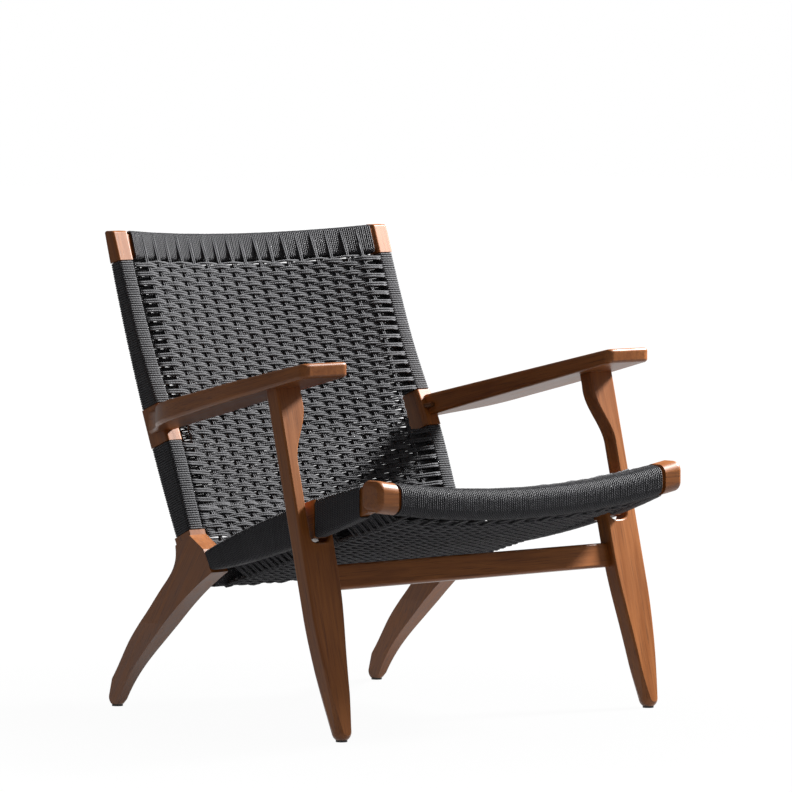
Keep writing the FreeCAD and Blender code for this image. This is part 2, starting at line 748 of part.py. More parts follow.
nodes = {
    "front_seat_rail": bar,
    "rear_seat_rail": rear_bar,
    "front_stretcher": stretcher,
    "top_back_rail": top_bar,
    "bottom_back_rail": bottom_bar,
    "front_rail_wrap": bar_sleeve,
    "rear_rail_wrap": rear_sleeve,
    "top_rail_wrap": back_rail_wrap(top_level, top_rail_height, top_rail_thickness, top_rail_bow),
    "bottom_rail_wrap": back_rail_wrap(bottom_level, bottom_rail_height, bottom_rail_thickness,
                                       bottom_rail_bow),
    "back_weave_front": back_panel(-1),
    "back_weave_rear": back_panel(1),
    "seat_weave_top": seat_panel(1),
    "seat_weave_underside": seat_panel(-1),
}
paired = {
    "back_post": post,
    "rear_leg": hind_leg,
    "front_leg": leg,
    "armrest": arm,
    "side_rail": rail,
    "side_rail_front_wrap": front_wrap,
    "side_rail_rear_wrap": rear_wrap,
    "post_wrap_upper": upper_wrap,
    "post_wrap_lower": lower_wrap,
}
for name, shape in paired.items():
    nodes[name + "_left"] = shape
    nodes[name + "_right"] = mirrored(shape)

both = dict(peg_groups)
both["front_glides"] = [glide(*feet["front"])]
both["rear_glides"] = [glide(*feet["rear"])]
both["glide_nails"] = nails
for name, pieces in both.items():
    nodes[name] = Part.makeCompound(pieces + [mirrored(piece) for piece in pieces])

# ---- put the origin under the middle of the whole chair and write the files ----
reach = [shape.optimalBoundingBox() for shape in nodes.values()]
middle_y = (min(box.YMin for box in reach) + max(box.YMax for box in reach)) / 2
os.makedirs("parts", exist_ok=True)
for name, shape in nodes.items():
    shape.translate(V(0, -middle_y, 0))
    shape.exportStep("parts/" + name + ".step")
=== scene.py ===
"""A low wooden armchair with a woven paper-cord seat and back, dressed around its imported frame."""
import math
import random

import bmesh
import bpy
import numpy as np
from bpy.props import FloatProperty, FloatVectorProperty, IntProperty, PointerProperty
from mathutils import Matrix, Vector


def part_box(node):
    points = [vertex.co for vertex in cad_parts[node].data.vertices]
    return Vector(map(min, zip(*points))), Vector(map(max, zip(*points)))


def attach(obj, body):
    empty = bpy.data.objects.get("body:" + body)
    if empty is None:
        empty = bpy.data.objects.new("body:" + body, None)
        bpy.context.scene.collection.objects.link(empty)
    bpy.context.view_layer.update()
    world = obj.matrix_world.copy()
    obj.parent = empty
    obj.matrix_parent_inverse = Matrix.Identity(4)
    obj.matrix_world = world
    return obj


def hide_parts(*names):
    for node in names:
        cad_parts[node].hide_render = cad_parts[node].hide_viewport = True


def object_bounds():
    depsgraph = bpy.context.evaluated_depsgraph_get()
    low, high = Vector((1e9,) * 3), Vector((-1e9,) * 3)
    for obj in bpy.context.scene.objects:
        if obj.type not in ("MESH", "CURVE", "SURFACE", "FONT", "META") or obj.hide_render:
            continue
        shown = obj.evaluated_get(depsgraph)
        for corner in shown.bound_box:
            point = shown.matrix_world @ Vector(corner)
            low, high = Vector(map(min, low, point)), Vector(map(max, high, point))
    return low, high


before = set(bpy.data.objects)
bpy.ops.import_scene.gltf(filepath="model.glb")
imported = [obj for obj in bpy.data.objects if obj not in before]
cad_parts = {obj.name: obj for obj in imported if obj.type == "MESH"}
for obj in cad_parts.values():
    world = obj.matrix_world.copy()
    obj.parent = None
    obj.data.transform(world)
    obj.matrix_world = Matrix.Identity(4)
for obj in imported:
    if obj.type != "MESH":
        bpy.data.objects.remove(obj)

bl_info = {
    "name": "Woven Armchair",
    "version": (1, 0, 0),
    "blender": (4, 5, 0),
    "location": "View3D > Sidebar > Armchair",
    "description": "Winds and weaves the cord of a low wooden armchair and finishes its wood",
    "category": "Object",
}

CAD_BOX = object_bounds()
UP = Vector((0, 0, 1))
ACROSS = Vector((1, 0, 0))
BACKWARDS = Vector((0, 1, 0))


# ---- sizes and colours that a user may change -----------------------------------------------
class CordSettings(bpy.types.PropertyGroup):
    """Sizes of the cord and of its weave."""
    radius: FloatProperty(name="Cord radius", description="Half the thickness of the cord",
                          default=0.00168, unit="LENGTH")
    turn_pitch: FloatProperty(name="Turn pitch", description="From one turn of cord to the next",
                              default=0.0036, unit="LENGTH")
    warp_pitch: FloatProperty(name="Warp pitch", description="From one pair of warps to the next",
                              default=0.0278, unit="LENGTH")
    warps_each_side: IntProperty(name="Warps each side", default=8,
                                 description="Pairs of warps each side of the middle pair")
    weft_depth: FloatProperty(name="Weft depth", description="How far a weft passes before a warp",
                              default=0.0026, unit="LENGTH")
    warp_depth: FloatProperty(name="Warp depth", description="How far a warp gives way to a weft",
                              default=0.0013, unit="LENGTH")
    unevenness: FloatProperty(name="Unevenness", description="How far cords stray from their line",
                              default=0.00035, unit="LENGTH")
    lay: FloatProperty(name="Lay", description="Length of one full twist of the cord's strands",
                       default=0.010, unit="LENGTH")
    # Painted shade and painted highlight: the dark colour is painted into the grooves between the
    # strands, and the light colour onto the crown of each strand.
    dark: FloatVectorProperty(name="Dark fibre", description="Colour between the strands",
                              subtype="COLOR", default=(0.0030, 0.0031, 0.0042))
    light: FloatVectorProperty(name="Light fibre", description="Colour on the crown of a strand",
                               subtype="COLOR", default=(0.056, 0.056, 0.069))


class WoodSettings(bpy.types.PropertyGroup):
    """Colours and gloss of the stained wood."""
    dark: FloatVectorProperty(name="Late wood", description="Colour of the dark bands",
                              subtype="COLOR", default=(0.245, 0.072, 0.014))
    light: FloatVectorProperty(name="Early wood", description="Colour of the light bands",
                               subtype="COLOR", default=(0.45, 0.150, 0.030))
    roughness: FloatProperty(name="Roughness", description="Roughness of the lacquer",
                             default=0.40)
    coat: FloatProperty(name="Coat", description="Strength of the lacquer's gloss", default=0.12)


class StudioSettings(bpy.types.PropertyGroup):
    """Camera and light."""
    azimuth: FloatProperty(name="Azimuth", description="Where the camera stands, from the front",
                           default=-42.37)
    elevation: FloatProperty(name="Elevation", description="How high the camera stands, in degrees",
                             default=4.23)
    distance: FloatProperty(name="Distance", description="From the camera to the chair",
                            default=8.2045, unit="LENGTH")
    aim_height: FloatProperty(name="Aim height", description="Height that the camera is level with",
                              default=0.36, unit="LENGTH")
    lens: FloatProperty(name="Lens", description="Focal length in millimetres", default=244.97)
    key_power: FloatProperty(name="Key light", description="Power of the key light in watts",
                             default=480.0)


# ---- drawing cords --------------------------------------------------------------------------
CORD_SIDES = 8
JOIN_WITHIN = 1e-6      # corners nearer than this are one corner
PHASE_STEP = 0.0009     # how far the twist of one cord is ahead of its neighbour's


def cord_piece(name, cords, radius, closed=False):
    """One mesh of round cords, each along its own points, with the true length in its UV map."""
    curve = bpy.data.curves.new(name, "CURVE")
    curve.dimensions = "3D"
    curve.bevel_depth = radius
    curve.bevel_resolution = (CORD_SIDES - 4) // 2
    curve.use_fill_caps = not closed
    for points in cords:
        spline = curve.splines.new("POLY")
        spline.points.add(len(points) - 1)
        for spot, point in zip(spline.points, points):
            spot.co = (*point, 1)
        spline.use_cyclic_u = closed
    drawn = bpy.data.objects.new(name + "_drawn", curve)
    bpy.context.scene.collection.objects.link(drawn)
    bpy.context.view_layer.update()
    mesh = bpy.data.meshes.new_from_object(drawn)
    mesh.name = name
    bpy.data.objects.remove(drawn)
    bpy.data.curves.remove(curve)
    measure_along(mesh, cords, closed)
    join_doubles(mesh)
    piece = bpy.data.objects.new(name, mesh)
    bpy.context.scene.collection.objects.link(piece)
    return piece


def join_doubles(mesh):
    """Join the cords' ends to the caps that close them."""
    joined = bmesh.new()
    joined.from_mesh(mesh)
    bmesh.ops.remove_doubles(joined, verts=joined.verts, dist=JOIN_WITHIN)
    joined.to_mesh(mesh)
    joined.free()


def measure_along(mesh, cords, closed):
    """Replace the UV map's share of each cord by the length in metres up to that place."""
    layer = mesh.uv_layers[0]
    values = np.empty(len(mesh.loops) * 2, np.float32)
    layer.uv.foreach_get("vector", values)
    values = values.reshape(-1, 2)
    cap_corners = 0 if closed else 2 * (CORD_SIDES - 2) * 3
    draw = random.Random(mesh.name)
    first = 0
    for number, points in enumerate(cords):
        spans = [(b - a).length for a, b in zip(points, points[1:] + points[:1])]
        if not closed:
            spans.pop()
        shift = PHASE_STEP * (number + draw.uniform(-0.6, 0.6))
        lengths = np.concatenate([[0.0], np.cumsum(spans)]) + shift
        count = len(spans)
        first += cap_corners
        last = first + count * CORD_SIDES * 4
        rings = np.rint(values[first:last, 0] * count).astype(int)
        values[first:last, 0] = lengths[np.clip(rings, 0, count)]
        first = last
    layer.uv.foreach_set("vector", values.ravel())


# ---- measuring the frame --------------------------------------------------------------------
def node_shape(node):
    """A joined copy of a node's mesh, to measure and cut."""
    shape = bmesh.new()
    shape.from_mesh(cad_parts[node].data)
    bmesh.ops.remove_doubles(shape, verts=shape.verts, dist=JOIN_WITHIN)
    shape.normal_update()
    return shape


def end_plane(node, towards):
    """Middle and outward direction of the flat end of a wound sleeve that faces a given way."""
    shape = node_shape(node)
    towards = Vector(towards).normalized()
    facing = [face for face in shape.faces if face.normal.dot(towards) > 0.95]
    furthest = max(facing, key=lambda face: face.calc_center_median().dot(towards))
    level = furthest.calc_center_median()
    normal = furthest.normal.copy()
    flat = [face for face in facing if face.normal.dot(normal) > 0.999
            and abs((face.calc_center_median() - level).dot(normal)) < 0.0002]
    area = sum(face.calc_area() for face in flat)
    middle = sum((face.calc_center_median() * face.calc_area() for face in flat), Vector()) / area
    shape.free()
    return middle, normal


def cut_sizes(shape, point, normal, across):
    """Centre, two axes and two half sizes of a member cut by a plane."""
    normal = normal.normalized()
    first = (across - normal * across.dot(normal)).normalized()
    second = normal.cross(first)
    copy = shape.copy()
    everything = copy.verts[:] + copy.edges[:] + copy.faces[:]
    cut = bmesh.ops.bisect_plane(copy, geom=everything, dist=1e-7, plane_co=point, plane_no=normal)
    rim = [v.co - point for v in cut["geom_cut"] if isinstance(v, bmesh.types.BMVert)]
    along_first = [spot.dot(first) for spot in rim]
    along_second = [spot.dot(second) for spot in rim]
    copy.free()
    mid_first = (max(along_first) + min(along_first)) / 2
    mid_second = (max(along_second) + min(along_second)) / 2
    centre = point + first * mid_first + second * mid_second
    return (centre, first, second, (max(along_first) - min(along_first)) / 2,
            (max(along_second) - min(along_second)) / 2)


STATIONS = 9
END_MARGIN = 0.004      # share of a sleeve's length kept clear of its flat ends when it is cut


def sleeve_sizes(node, start, finish, across):
    """The sizes of a wound sleeve at places spread from its start plane to its finish plane."""
    shape = node_shape(node)
    (start_point, start_normal), (finish_point, finish_normal) = start, finish
    places = []
    for i in range(STATIONS):
        share = END_MARGIN + (1 - 2 * END_MARGIN) * i / (STATIONS - 1)
        point = start_point.lerp(finish_point, share)
        normal = start_normal.lerp(finish_normal, share)
        places.append(cut_sizes(shape, point, normal, across))
    shape.free()
    return places


def place_at(places, share):
    """The sizes at any share of the way along, between two measured places."""
    spot = min(max(share, 0.0), 1.0) * (len(places) - 1)
    low = min(int(spot), len(places) - 2)
    part = spot - low
    a, b = places[low], places[low + 1]
    return (a[0].lerp(b[0], part), a[1].lerp(b[1], part).normalized(),
            a[2].lerp(b[2], part).normalized(), a[3] + (b[3] - a[3]) * part,
            a[4] + (b[4] - a[4]) * part)


def ring(place, inset, corner, steps=3):
    """Points of a closed turn: a rectangle with rounded corners inside the sleeve's outline."""
    centre, first, second, half_first, half_second = place
    reach = half_first - inset - corner
    rise = half_second - inset - corner
    points = []
    for quarter, (sign_first, sign_second) in enumerate(((1, 1), (-1, 1), (-1, -1), (1, -1))):
        for step in range(steps + 1):
            angle = (quarter + step / steps) * math.pi / 2
            points.append(centre + first * (sign_first * reach + corner * math.cos(angle))
                          + second * (sign_second * rise + corner * math.sin(angle)))
    return points


def corner_spot(place, inset, corner, sign_first, sign_second):
    """The middle of one rounded corner of a turn."""
    centre, first, second, half_first, half_second = place
    lean = corner * (1 - math.sqrt(0.5))
    return (centre + first * sign_first * (half_first - inset - lean)
            + second * sign_second * (half_second - inset - lean))


def walk(places, pitch):
    """Shares at which turns lie when they are wound side by side from start to finish."""
    spans = [(b[0] - a[0]).length for a, b in zip(places, places[1:])]
    count = max(1, int(sum(spans) / pitch))
    return [(i + 0.5) / count for i in range(count)]


def taut(ring_a, ring_b, out):
    """Where a cord pulled tight from one rail to another leaves the first and meets the second."""
    facing = out
    for _ in range(5):
        spot_a = max(ring_a, key=lambda p: p.dot(facing))
        spot_b = max(ring_b, key=lambda p: p.dot(facing))
        along = (spot_b - spot_a).normalized()
        facing = (out - along * out.dot(along)).normalized()
    return spot_a, spot_b, facing


# ---- the wound sleeves ----------------------------------------------------------------------
POST_CORNER = 0.0042
RAIL_CORNER = 0.0045
FRONT_RAIL_CORNER = 0.0135
UPPER_DOWN = (0, -0.30, -0.95)
LOWER_DOWN = (0, -0.40, -0.92)
UPPER_UP = (0, 0.28, 0.96)
LOWER_UP = (0, 0.38, 0.93)
JOINT_FACE = (0, 0.873, -0.488)     # the side rail's rear end faces the rear leg this way
SIDES = {"left": 1, "right": -1}


def flipped(plane):
    """The same plane, facing the other way."""
    middle, normal = plane
    return middle, -normal


def post_places(part, side):
    """The sizes of one post's sleeve, from its foot to its top."""
    node = "post_wrap_" + part + "_" + side
    down, up = (UPPER_DOWN, UPPER_UP) if part == "upper" else (LOWER_DOWN, LOWER_UP)
    return sleeve_sizes(node, flipped(end_plane(node, down)), end_plane(node, up), ACROSS)


def side_rail_places(part, side):
    """The sizes of one side rail's sleeve, from front to rear."""
    node = "side_rail_" + part + "_wrap_" + side
    rear = JOINT_FACE if part == "rear" else BACKWARDS
    return sleeve_sizes(node, flipped(end_plane(node, (0, -1, 0))), end_plane(node, rear), ACROSS)


def cross_rail_places(node, lean):
    """The sizes of a cross rail's sleeve, which leans back with its neighbours."""
    low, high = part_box(node)
    middle = (low + high) / 2
    start = (Vector((low.x, middle.y, middle.z)), ACROSS)
    finish = (Vector((high.x, middle.y, middle.z)), ACROSS)
    return sleeve_sizes(node, start, finish, Vector((0, math.cos(lean), -math.sin(lean))))


def post_lean(part):
    """How far the posts lean back, in radians, at the top or at the foot of the back."""
    places = POSTS[part, "left"]
    spots = (places[-1][0], places[-3][0]) if part == "upper" else (places[2][0], places[0][0])
    along = spots[0] - spots[1]
    return math.atan2(along.y, along.z)


POSTS = {(part, side): post_places(part, side) for part in ("lower", "upper") for side in SIDES}
SIDE_RAILS = {(part, side): side_rail_places(part, side) for part in ("front", "rear")
              for side in SIDES}
CROSS_RAILS = {
    "top_rail_wrap": cross_rail_places("top_rail_wrap", post_lean("upper")),
    "bottom_rail_wrap": cross_rail_places("bottom_rail_wrap", post_lean("lower")),
    "front_rail_wrap": cross_rail_places("front_rail_wrap", 0.0),
    "rear_rail_wrap": cross_rail_places("rear_rail_wrap", 0.0),
}
CORNERS = {"top_rail_wrap": RAIL_CORNER, "bottom_rail_wrap": RAIL_CORNER,
           "rear_rail_wrap": RAIL_CORNER, "front_rail_wrap": FRONT_RAIL_CORNER}


def strayed(points, amount, draw):
    """Points moved a little at random, as hand-laid cord lies."""
    return [point + Vector([draw.uniform(-amount, amount) for _ in range(3)]) for point in points]


def wind(node, places, corner, shares, settings):
    """Wind cord round one sleeve's places, and let the winding stand for the sleeve."""
    draw = random.Random(node)
    turns = []
    for share in shares:
        turn = ring(place_at(places, share), settings.radius, corner)
        turns.append(strayed(turn, settings.unevenness * 0.4, draw))
    piece = cord_piece(node + "_cord", turns, settings.radius, closed=True)
    finish_cord(piece, node)


def finish_cord(piece, *nodes):
    """Fix a cord piece to the chair, in place of the plain nodes that it stands for."""
    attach(piece, "root")
    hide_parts(*nodes)
    piece.data.materials.append(bpy.data.materials["charcoal_paper_cord"])


FILLERS = 6             # turns that fill the space between two pairs of warps
PAIR_HALF = 2.15        # half of a pair's width, in cord radii


def cross_rail_shares(places, settings):
    """Shares at which the turns of a cross rail lie: the fillers and the warps' own turns."""
    half = places[-1][0].x
    pitch = settings.warp_pitch * half / min(rail[-1][0].x for rail in CROSS_RAILS.values())
    pair_half = PAIR_HALF * settings.radius
    room = pitch - 2 * pair_half
    spots = []
    reach = settings.warps_each_side
    for k in range(-reach - 2, reach + 2):
        start = k * pitch + pair_half
        spots += [start + room * (i + 0.5) / FILLERS for i in range(FILLERS)]
    for k in range(-reach, reach + 1):
        spots += [k * pitch - settings.radius, k * pitch + settings.radius]
    edge = half - settings.radius
    return sorted((spot + half) / (2 * half) for spot in spots if abs(spot) < edge)


# ---- the woven panels -----------------------------------------------------------------------
class Panel:
    """One woven layer: taut warps between two rails, and wefts between two side members."""

    def __init__(self, rail_a, rail_b, out, settings, behind):
        self.settings = settings
        self.out = Vector(out)
        self.behind = behind
        self.reach = settings.warps_each_side
        places_a, places_b = CROSS_RAILS[rail_a], CROSS_RAILS[rail_b]
        half_a, half_b = (abs(places[0][0].x) for places in (places_a, places_b))
        self.runs = []
        for k in range(-self.reach, self.reach + 1):
            share = k * settings.warp_pitch / min(half_a, half_b)
            ring_a = ring(place_at(places_a, (share + 1) / 2), settings.radius, CORNERS[rail_a], 6)
            ring_b = ring(place_at(places_b, (share + 1) / 2), settings.radius, CORNERS[rail_b], 6)
            self.runs.append(taut(ring_a, ring_b, self.out))

    def meet(self, k, plane):
        """Where a pair of warps passes through a weft's plane."""
        point, normal = plane
        start, finish, _ = self.runs[k]
        along = finish - start
        return start + along * ((point - start).dot(normal) / along.dot(normal))

    def sign(self, row, k):
        return 1 if (row + k + self.behind) % 2 == 0 else -1


WIDEST_GAP = 0.3        # share of a turn's pitch that may stay open between two wefts


def weft_rows(panel, members, to_the_end):
    """Every weft: the plane it lies in, and its turns on the side members, if it has any."""
    settings = panel.settings
    found = []
    for places_left, places_right in members:
        for share in walk(places_left, settings.turn_pitch):
            left, right = place_at(places_left, share), place_at(places_right, share)
            found.append(((left[0], left[1].cross(left[2])), (left, right)))
    if to_the_end:
        found.append(((panel.runs[-1][1], found[-1][0][1]), None))
    rows = found[:1]
    for plane, turns in found[1:]:
        before = rows[-1][0]
        distance = (panel.meet(-1, plane) - panel.meet(-1, before)).length
        missing = int(distance / settings.turn_pitch - WIDEST_GAP)
        for i in range(missing):
            share = (i + 1) / (missing + 1)
            rows.append(((before[0].lerp(plane[0], share), before[1].lerp(plane[1], share)), None))
        rows.append((plane, turns))
    return rows


UNDER_DEPTH = 0.016     # how far behind the members' faces the wefts that go under start
SWING = (1.0, 0.78, 0.0, -0.78)     # a weft's depth at each quarter of the way to the next warp
TWIN_SQUEEZE = 0.00014  # how far a pair of wefts is drawn together
TWIN_SPREAD = 0.00012   # how far it opens again before a warp
TAIL = 2.4              # length of a weft's short tail past the last warps, in cord radii
TAIL_DIP = 1.5          # how far the tail dips, in weft depths
WARP_ASIDE = 1.05       # from the middle of a pair of warps to each of them, in cord radii
WARP_NIP = 0.96         # share of that left where a weft nips the pair
RAIL_CLEAR = 0.002      # length next to each rail that the warps run straight


def weft_end(panel, turn, over, corner, side_sign, outer_sign):
    """Where a weft leaves its turn: from the member's corner, or from behind it if it goes under.

    The layer behind leaves from the corner everywhere, so the two layers never open together.
    """
    inset = panel.settings.radius
    if over or panel.behind:
        return corner_spot(turn, inset, corner, side_sign, outer_sign)
    centre, first, second, half_first, half_second = turn
    depth = min(UNDER_DEPTH, half_second * 1.4)
    return (centre + first * side_sign * (half_first - inset)
            + second * outer_sign * (half_second - depth))


def weft_cord(panel, row, twin, plane, ends, draw):
    """The points of one weft from one side of the panel to the other."""
    settings = panel.settings
    depth = settings.weft_depth
    count = len(panel.runs)
    spots = [panel.meet(k, plane) for k in range(count)]
    slide = (panel.runs[0][1] - panel.runs[0][0]).normalized() * twin
    points = []
    for k in range(count):
        sign = panel.sign(row, k)
        for quarter, swing in enumerate(SWING):
            if quarter and k == count - 1:
                break
            spot = spots[k].lerp(spots[k + 1], quarter / 4) if quarter else spots[k]
            spread = TWIN_SPREAD * max(0.0, swing * sign) - TWIN_SQUEEZE
            points.append(spot + panel.runs[k][2] * depth * swing * sign + slide * spread)
    if ends is None:
        outward = (points[0] - points[4]).normalized() * settings.radius * TAIL
        dip = depth * TAIL_DIP
        points = ([points[0] + outward - panel.runs[0][2] * dip * panel.sign(row, 0)] + points
                  + [points[-1] - outward - panel.runs[-1][2] * dip * panel.sign(row, count - 1)])
    else:
        first, last = ends
        points = ([first, first.lerp(points[0], 0.35), first.lerp(points[0], 0.75)] + points
                  + [points[-1].lerp(last, 0.25), points[-1].lerp(last, 0.65), last])
    return points[:1] + strayed(points[1:-1], settings.unevenness, draw) + points[-1:]


def warp_cord(panel, k, twin, planes, draw):
    """The points of one warp from rail to rail, giving way to each weft in turn."""
    settings = panel.settings
    aside = ACROSS * twin * settings.radius * WARP_ASIDE
    start, finish, facing = panel.runs[k]
    along = (finish - start).normalized()
    length = (finish - start).length
    spots = [panel.meet(k, plane) for plane in planes]
    points = [start + aside]
    before = start
    for row, spot in enumerate(spots):
        if RAIL_CLEAR < (spot - start).dot(along) < length - RAIL_CLEAR:
            points.append((before + spot) / 2 + aside)
            give = settings.warp_depth * panel.sign(row, k)
            points.append(spot + aside * WARP_NIP - facing * give)
            before = spot
    points.append(finish + aside)
    return points[:1] + strayed(points[1:-1], settings.unevenness * 0.5, draw) + points[-1:]


def weave(node, panel, members, corner, outer_sign, to_the_end=False):
    """Weave one layer: its warps and its wefts are two pieces that stand for the plain layer."""
    draw = random.Random(node)
    settings = panel.settings
    rows = weft_rows(panel, members, to_the_end)
    wefts = []
    for i, (plane, turns) in enumerate(rows):
        row = (i + panel.behind) // 2
        ends = None
        if turns:
            left, right = turns
            ends = (weft_end(panel, right, panel.sign(row, 0) > 0, corner, 1, outer_sign),
                    weft_end(panel, left, panel.sign(row, 2 * panel.reach) > 0, corner, -1,
                             outer_sign))
        wefts.append(weft_cord(panel, row, 1 if i % 2 else -1, plane, ends, draw))
    planes = [rows[max(0, 2 * row - panel.behind)][0]
              for row in range((len(rows) + panel.behind) // 2)]
    warps = [warp_cord(panel, k, twin, planes, draw)
             for k in range(len(panel.runs)) for twin in (-1, 1)]
    finish_cord(cord_piece(node + "_wefts", wefts, settings.radius), node)
    finish_cord(cord_piece(node + "_warps", warps, settings.radius), node)


APRON_OVERHANG = 0.95   # how far the apron's wefts pass its last warps, in warp pitches


def weave_apron(node, settings):
    """Join the foot of the back to the rear of the seat with a short weave of the same kind."""
    panel = Panel("rear_rail_wrap", "bottom_rail_wrap", (0, -1, 0), settings, False)
    draw = random.Random("apron")
    start, finish, _ = panel.runs[-1]
    span = finish - start
    count = int(span.length / settings.turn_pitch)
    planes = [(start + span * ((i + 0.5) / count), span.normalized()) for i in range(count)]
    wefts = []
    for i, plane in enumerate(planes):
        ends = []
        for edge, inner in ((0, 1), (-1, -2)):
            spot = panel.meet(edge, plane)
            ends.append(spot + (spot - panel.meet(inner, plane)) * APRON_OVERHANG)
        wefts.append(weft_cord(panel, i // 2, 1 if i % 2 else -1, plane, ends, draw))
    warps = [warp_cord(panel, k, twin, planes[::2], draw)
             for k in range(len(panel.runs)) for twin in (-1, 1)]
    finish_cord(cord_piece("apron_wefts", wefts, settings.radius), node)
    finish_cord(cord_piece("apron_warps", warps, settings.radius), node)


# ---- shader maths ---------------------------------------------------------------------------
class Field:
    """A shader socket that can be used in arithmetic."""

    def __init__(self, plan, socket):
        self.plan = plan
        self.socket = socket

    def maths(self, operation, *values):
        return self.plan.node("ShaderNodeMath", {"operation": operation}, dict(enumerate(values)))

    def __add__(self, other):
        return self.maths("ADD", self, other)

    def __radd__(self, other):
        return self.maths("ADD", other, self)

    def __sub__(self, other):
        return self.maths("SUBTRACT", self, other)

    def __rsub__(self, other):
        return self.maths("SUBTRACT", other, self)

    def __mul__(self, other):
        return self.maths("MULTIPLY", self, other)

    def __rmul__(self, other):
        return self.maths("MULTIPLY", other, self)

    def __truediv__(self, other):
        return self.maths("DIVIDE", self, other)


class Plan:
    """The nodes of one material."""

    def __init__(self, name):
        self.material = bpy.data.materials.new(name)
        self.material.use_nodes = True
        self.tree = self.material.node_tree
        self.shader = self.tree.nodes["Principled BSDF"]

    def node(self, kind, settings=None, inputs=None, output=0):
        made = self.tree.nodes.new(kind)
        for key, value in (settings or {}).items():
            if key == "stops":
                made.color_ramp.elements[0].position = value[0][0]
                made.color_ramp.elements[0].color = (*value[0][1], 1)
                made.color_ramp.elements[1].position = value[-1][0]
                made.color_ramp.elements[1].color = (*value[-1][1], 1)
                for position, colour in value[1:-1]:
                    made.color_ramp.elements.new(position).color = (*colour, 1)
            else:
                setattr(made, key, value)
        for key, value in (inputs or {}).items():
            self.feed(made.inputs[key], value)
        return Field(self, made.outputs[output])

    def feed(self, socket, value):
        if isinstance(value, Field):
            self.tree.links.new(value.socket, socket)
        else:
            socket.default_value = value

    def noise(self, where, scale, detail, **inputs):
        """Even noise of about one cell in each 1/scale metres."""
        return self.node("ShaderNodeTexNoise",
                         inputs={"Vector": where, "Scale": scale, "Detail": detail, **inputs})

    def spread(self, value, low, high, to_low, to_high):
        """A value between low and high, spread from to_low to to_high."""
        return self.node("ShaderNodeMapRange",
                         inputs={0: value, 1: low, 2: high, 3: to_low, 4: to_high})

    def finish(self, **sockets):
        for name, value in sockets.items():
            self.feed(self.shader.inputs[name.replace("_", " ")], value)


def stained_walnut(name, grain, settings):
    """Stained wood whose grain runs along a direction, under a satin lacquer."""
    plan = Plan(name)
    turn = Vector(grain).rotation_difference(UP).to_euler()
    where = plan.node("ShaderNodeTexCoord", output=3)
    upright = plan.node("ShaderNodeMapping", inputs={"Vector": where, "Rotation": tuple(turn)})
    stretched = plan.node("ShaderNodeMapping", inputs={"Vector": upright, "Scale": (1, 1, 0.07)})
    fine = plan.node("ShaderNodeMapping", inputs={"Vector": upright, "Scale": (1, 1, 0.02)})
    bands = plan.noise(stretched, 95.0, 4.0, Roughness=0.55, Distortion=0.6)
    clouds = plan.noise(upright, 9.0, 2.0)
    pores = plan.noise(fine, 900.0, 3.0)
    streak = bands * 0.7 + clouds * 0.3
    colour = plan.node("ShaderNodeValToRGB", {"stops": [
        (0.30, tuple(settings.dark)),
        (0.52, tuple((a + b) / 2 for a, b in zip(settings.dark, settings.light))),
        (0.72, tuple(settings.light))]}, {0: streak})
    pore_mask = plan.spread(pores, 0.30, 0.46, 0.55, 1.0)
    shaded = plan.node("ShaderNodeMix", {"data_type": "RGBA", "blend_type": "MULTIPLY"},
                       {0: 1.0, 6: colour, 7: plan.node("ShaderNodeCombineColor", inputs={
                           0: pore_mask, 1: pore_mask, 2: pore_mask})}, output=2)
    relief = plan.node("ShaderNodeBump", inputs={"Strength": 0.25, "Distance": 0.0004,
                                                 "Height": pore_mask * 0.6 + bands * 0.4})
    plan.finish(Base_Color=shaded, Roughness=settings.roughness + (bands - 0.5) * 0.25,
                Normal=relief, Coat_Weight=settings.coat, Coat_Roughness=0.18,
                Specular_IOR_Level=0.36)
    return plan.material


def paper_cord(settings):
    """Three-ply twisted paper: each strand is a ridge that climbs round the cord, with a painted
    highlight on its crown and painted shade between strands.
    """
    plan = Plan("charcoal_paper_cord")
    uv = plan.node("ShaderNodeUVMap", {"uv_map": "UVMap"})
    parts = plan.node("ShaderNodeSeparateXYZ", inputs={0: uv})
    along = Field(plan, parts.socket.node.outputs[0])
    around = Field(plan, parts.socket.node.outputs[1])
    strands = 3
    phase = (around + along / settings.lay) * strands
    ridge = phase.maths("FRACT", phase)
    crown = phase.maths("SINE", ridge * math.pi)
    where = plan.node("ShaderNodeTexCoord", output=3)
    fibres = plan.noise(where, 900.0, 2.0)
    patches = plan.noise(where, 60.0, 2.0)
    # Painted light: the strands' crowns are painted light and the grooves between them dark, as
    # highlight and shade of the twist; the fibre and patch noise is the paper's own random tone.
    painted_twist_shade_and_fibre_tone = crown * crown * 0.75 + fibres * 0.30 + patches * 0.12
    colour = plan.node("ShaderNodeValToRGB", {"stops": [
        (0.42, tuple(settings.dark)), (1.0, tuple(settings.light))]}, {0: painted_twist_shade_and_fibre_tone})
    relief = plan.node("ShaderNodeBump", inputs={"Strength": 0.8, "Distance": 0.0006,
                                                 "Height": crown + fibres * 0.3})
    plan.finish(Base_Color=colour, Roughness=0.62 + (fibres - 0.5) * 0.2, Normal=relief,
                Sheen_Weight=0.25, Sheen_Roughness=0.4, Specular_IOR_Level=0.45)
    return plan.material


def plain_material(name, base, metallic, rough):
    """A small part's finish, slightly mottled."""
    plan = Plan(name)
    where = plan.node("ShaderNodeTexCoord", output=3)
    mottle = plan.noise(where, 400.0, 2.0)
    colour = plan.node("ShaderNodeValToRGB", {"stops": [
        (0.3, tuple(0.7 * c for c in base)), (0.7, tuple(base))]}, {0: mottle})
    plan.finish(Base_Color=colour, Metallic=metallic, Roughness=rough + (mottle - 0.5) * 0.2)
    return plan.material


